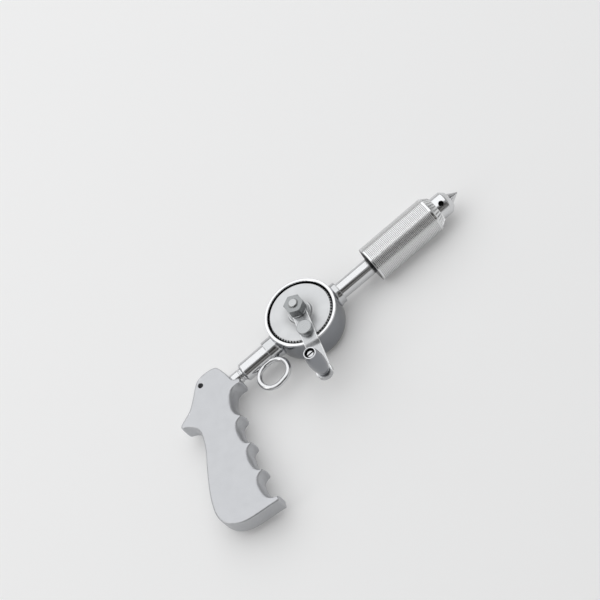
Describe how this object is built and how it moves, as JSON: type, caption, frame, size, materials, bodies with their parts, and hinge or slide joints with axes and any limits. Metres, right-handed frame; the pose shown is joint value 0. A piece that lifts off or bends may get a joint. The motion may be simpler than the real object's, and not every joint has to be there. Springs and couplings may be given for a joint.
{
  "type": "bone drill",
  "caption": "Pistol-grip hand drill for bone: geared crank with a turning knob, finger ring, ribbed key chuck with sliding jaws.",
  "frame": {"origin": "centre of the gear housing's flat back, on the crank axle's line", "axes": "+X along the spindle towards the chuck, +Z along the crank axle away from the back, +Y towards the top of the grip"},
  "size_m": [0.251, 0.1194, 0.0509],
  "materials": {
    "cast_grip": "cast, hand polished to a soft satin",
    "polished_steel": "bright polished steel",
    "chromed_cup": "polished casting with a bright turned rim",
    "spun_wheel": "satin, turned in fine circles",
    "machined_steel": "turned and lightly polished",
    "ribbed_steel": "turned in fine ribs, bright crests",
    "polished_knob": "bright polished steel",
    "tooth_steel": "cut teeth, greased",
    "jaw_steel": "hardened and ground",
    "bearing_bronze": "plain bearing bronze"
  },
  "bodies": {
    "frame": {"grip": "cast_grip", "grip_stem": "polished_steel", "rear_barrel": "polished_steel", "finger_ring": "polished_steel", "gear_housing": "chromed_cup", "front_tube": "polished_steel", "front_bush": "bearing_bronze", "rear_bush": "bearing_bronze", "axle": "machined_steel", "axle_washer": "machined_steel", "axle_nut": "machined_steel"},
    "crank": {"gear_wheel": "spun_wheel", "wheel_bush": "bearing_bronze", "crank_arm": "polished_steel", "drive_stud": "machined_steel", "knob_screw": "machined_steel"},
    "knob": {"crank_knob": "polished_knob"},
    "spindle": {"spindle": "machined_steel", "pinion": "tooth_steel", "pinion_pin": "machined_steel", "pinion_washer": "bearing_bronze", "thrust_washer": "bearing_bronze", "chuck_body": "machined_steel"},
    "sleeve": {"chuck_sleeve": "ribbed_steel", "chuck_nut": "tooth_steel"},
    "jaw_1": {"jaw_1": "jaw_steel"},
    "jaw_2": {"jaw_2": "jaw_steel"},
    "jaw_3": {"jaw_3": "jaw_steel"}
  },
  "joints": [
    {"name": "crank_turn", "type": "hinge", "parent": "frame", "child": "crank", "pos_m": [0, 0, 0.025], "axis": [0, 0, 1], "continuous": true},
    {"name": "spindle_turn", "type": "hinge", "parent": "frame", "child": "spindle", "pos_m": [0.05, 0, 0.013], "axis": [1, 0, 0], "continuous": true},
    {"name": "knob_spin", "type": "hinge", "parent": "crank", "child": "knob", "pos_m": [-0.01273, -0.04752, 0.038], "axis": [0, 0, 1], "continuous": true},
    {"name": "sleeve_turn", "type": "hinge", "parent": "spindle", "child": "sleeve", "pos_m": [0.08, 0, 0.013], "axis": [1, 0, 0], "range_deg": [0, 1800]},
    {"name": "jaw_1_slide", "type": "slide", "parent": "spindle", "child": "jaw_1", "axis": [-0.9848, -0.1736, 0.0091], "range_m": [0, 0.0115]},
    {"name": "jaw_2_slide", "type": "slide", "parent": "spindle", "child": "jaw_2", "axis": [-0.9848, 0.0789, -0.1549], "range_m": [0, 0.0115]},
    {"name": "jaw_3_slide", "type": "slide", "parent": "spindle", "child": "jaw_3", "axis": [-0.9848, 0.0947, 0.1458], "range_m": [0, 0.0115]}
  ],
  "couplings": [
    {"joint": "spindle_turn", "follows": "crank_turn", "ratio": -4},
    {"joint": "jaw_1_slide", "follows": "sleeve_turn", "m_per_rad": 0.0003661},
    {"joint": "jaw_2_slide", "follows": "sleeve_turn", "m_per_rad": 0.0003661},
    {"joint": "jaw_3_slide", "follows": "sleeve_turn", "m_per_rad": 0.0003661}
  ]
}
